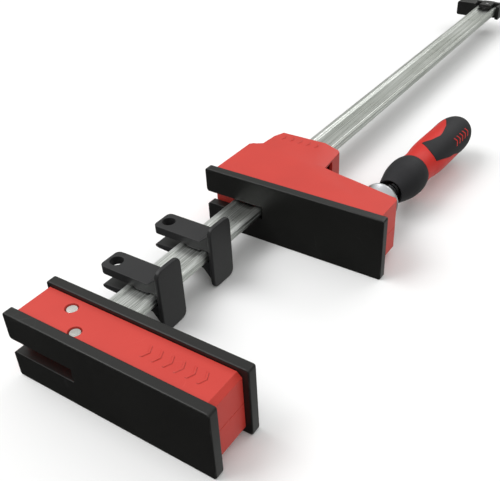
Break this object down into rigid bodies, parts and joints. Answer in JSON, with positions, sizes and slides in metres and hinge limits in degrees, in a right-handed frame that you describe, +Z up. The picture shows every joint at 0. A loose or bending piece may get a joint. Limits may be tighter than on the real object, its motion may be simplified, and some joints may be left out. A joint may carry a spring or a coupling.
{
  "type": "parallel-jaw bar clamp",
  "caption": "Parallel-jaw bar clamp: steel rail, fixed jaw, sliding jaw with screw handle, rail pads and end stop.",
  "frame": {"origin": "middle of the clamp's outer box, on the surface that the jaws stand on", "axes": "+Y along the rail from the fixed jaw to the end stop, +X towards the throat and the jaw tips, +Z up"},
  "size_m": [0.166, 0.835, 0.055],
  "materials": {
    "zinc_rail": "zinc plated, drawn lengthwise",
    "zinc_fixing": "bright zinc plate",
    "cast_steel": "satin, forged and plated",
    "black_steel": "black oxide, oiled",
    "red_shell": "fine moulded texture",
    "black_pad": "smooth matt",
    "dark_plastic": "smooth satin",
    "red_handle": "semi-gloss",
    "soft_grip": "soft-touch matt"
  },
  "bodies": {
    "frame": {"rail": "zinc_rail", "outer_pad": "black_pad", "fixed_jaw_pad": "black_pad", "fixed_shell_upper": "red_shell", "fixed_shell_lower": "red_shell", "fixed_core": "cast_steel", "fixed_rivet_1": "zinc_fixing", "fixed_rivet_2": "zinc_fixing", "fixed_shell_screw_1": "black_steel", "fixed_shell_screw_2": "black_steel", "end_stop": "black_pad", "end_stop_pin": "cast_steel"},
    "carriage": {"sliding_arm": "cast_steel", "brake_shoe": "dark_plastic", "brake_spring": "cast_steel"},
    "jaw": {"slider_pad": "black_pad", "slider_shell_upper": "red_shell", "slider_shell_lower": "red_shell", "jaw_front_plate": "cast_steel", "slider_screw_1": "black_steel", "slider_screw_2": "black_steel", "slider_screw_3": "black_steel", "slider_screw_4": "black_steel"},
    "screw": {"spindle": "black_steel", "spindle_clip": "black_steel", "handle_collar": "soft_grip", "handle_grip": "soft_grip", "handle_core": "red_handle", "handle_pin": "cast_steel"},
    "near_pad": {"rail_pad_near": "dark_plastic"},
    "far_pad": {"rail_pad_far": "dark_plastic"}
  },
  "joints": [
    {"name": "carriage_slide", "type": "slide", "parent": "frame", "child": "carriage", "axis": [0, 1, 0], "range_m": [-0.02, 0.48]},
    {"name": "jaw_advance", "type": "slide", "parent": "carriage", "child": "jaw", "axis": [0, -1, 0], "range_m": [-0.006, 0.01]},
    {"name": "handle_turn", "type": "hinge", "parent": "jaw", "child": "screw", "pos_m": [0.04778, -0.1795, 0.0275], "axis": [-0.0511, -0.9987, 0], "range_deg": [-541, 901]},
    {"name": "near_pad_slide", "type": "slide", "parent": "frame", "child": "near_pad", "axis": [0, 1, 0], "range_m": [-0.034, 0.016]},
    {"name": "far_pad_slide", "type": "slide", "parent": "frame", "child": "far_pad", "axis": [0, 1, 0], "range_m": [-0.016, 0.016]}
  ],
  "couplings": [
    {"joint": "handle_turn", "follows": "jaw_advance", "rad_per_m": 1570.8}
  ]
}
